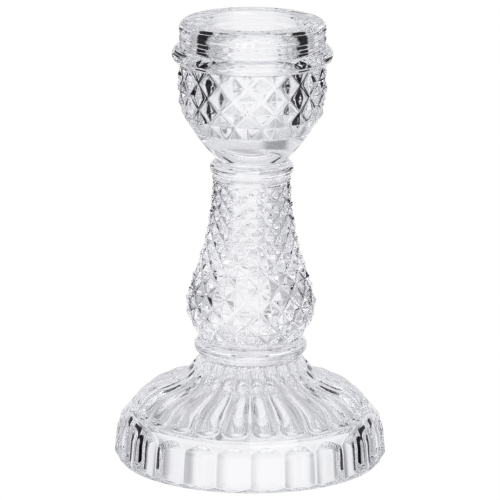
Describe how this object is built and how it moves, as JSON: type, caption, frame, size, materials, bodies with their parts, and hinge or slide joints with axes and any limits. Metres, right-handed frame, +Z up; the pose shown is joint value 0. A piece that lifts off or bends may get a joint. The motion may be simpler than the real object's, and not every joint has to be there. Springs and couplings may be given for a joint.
{
  "type": "glass candlestick",
  "caption": "Clear pressed-glass candlestick: fluted round foot, diamond-point baluster stem with beaded collars, and a diamond-point cup bored for a taper candle.",
  "frame": {"origin": "on the candlestick's axis, at the plane its foot ring stands on", "axes": "+Z up along the axis, towards the mouth of the candle socket; -Y is the front"},
  "size_m": [0.0658, 0.0656, 0.108],
  "materials": {
    "clear_glass": "clear fire-polished pressed glass"
  },
  "bodies": {
    "root": {"foot": "clear_glass", "lower_collar": "clear_glass", "stem": "clear_glass", "upper_collar": "clear_glass", "candle_cup": "clear_glass"}
  },
  "joints": []
}
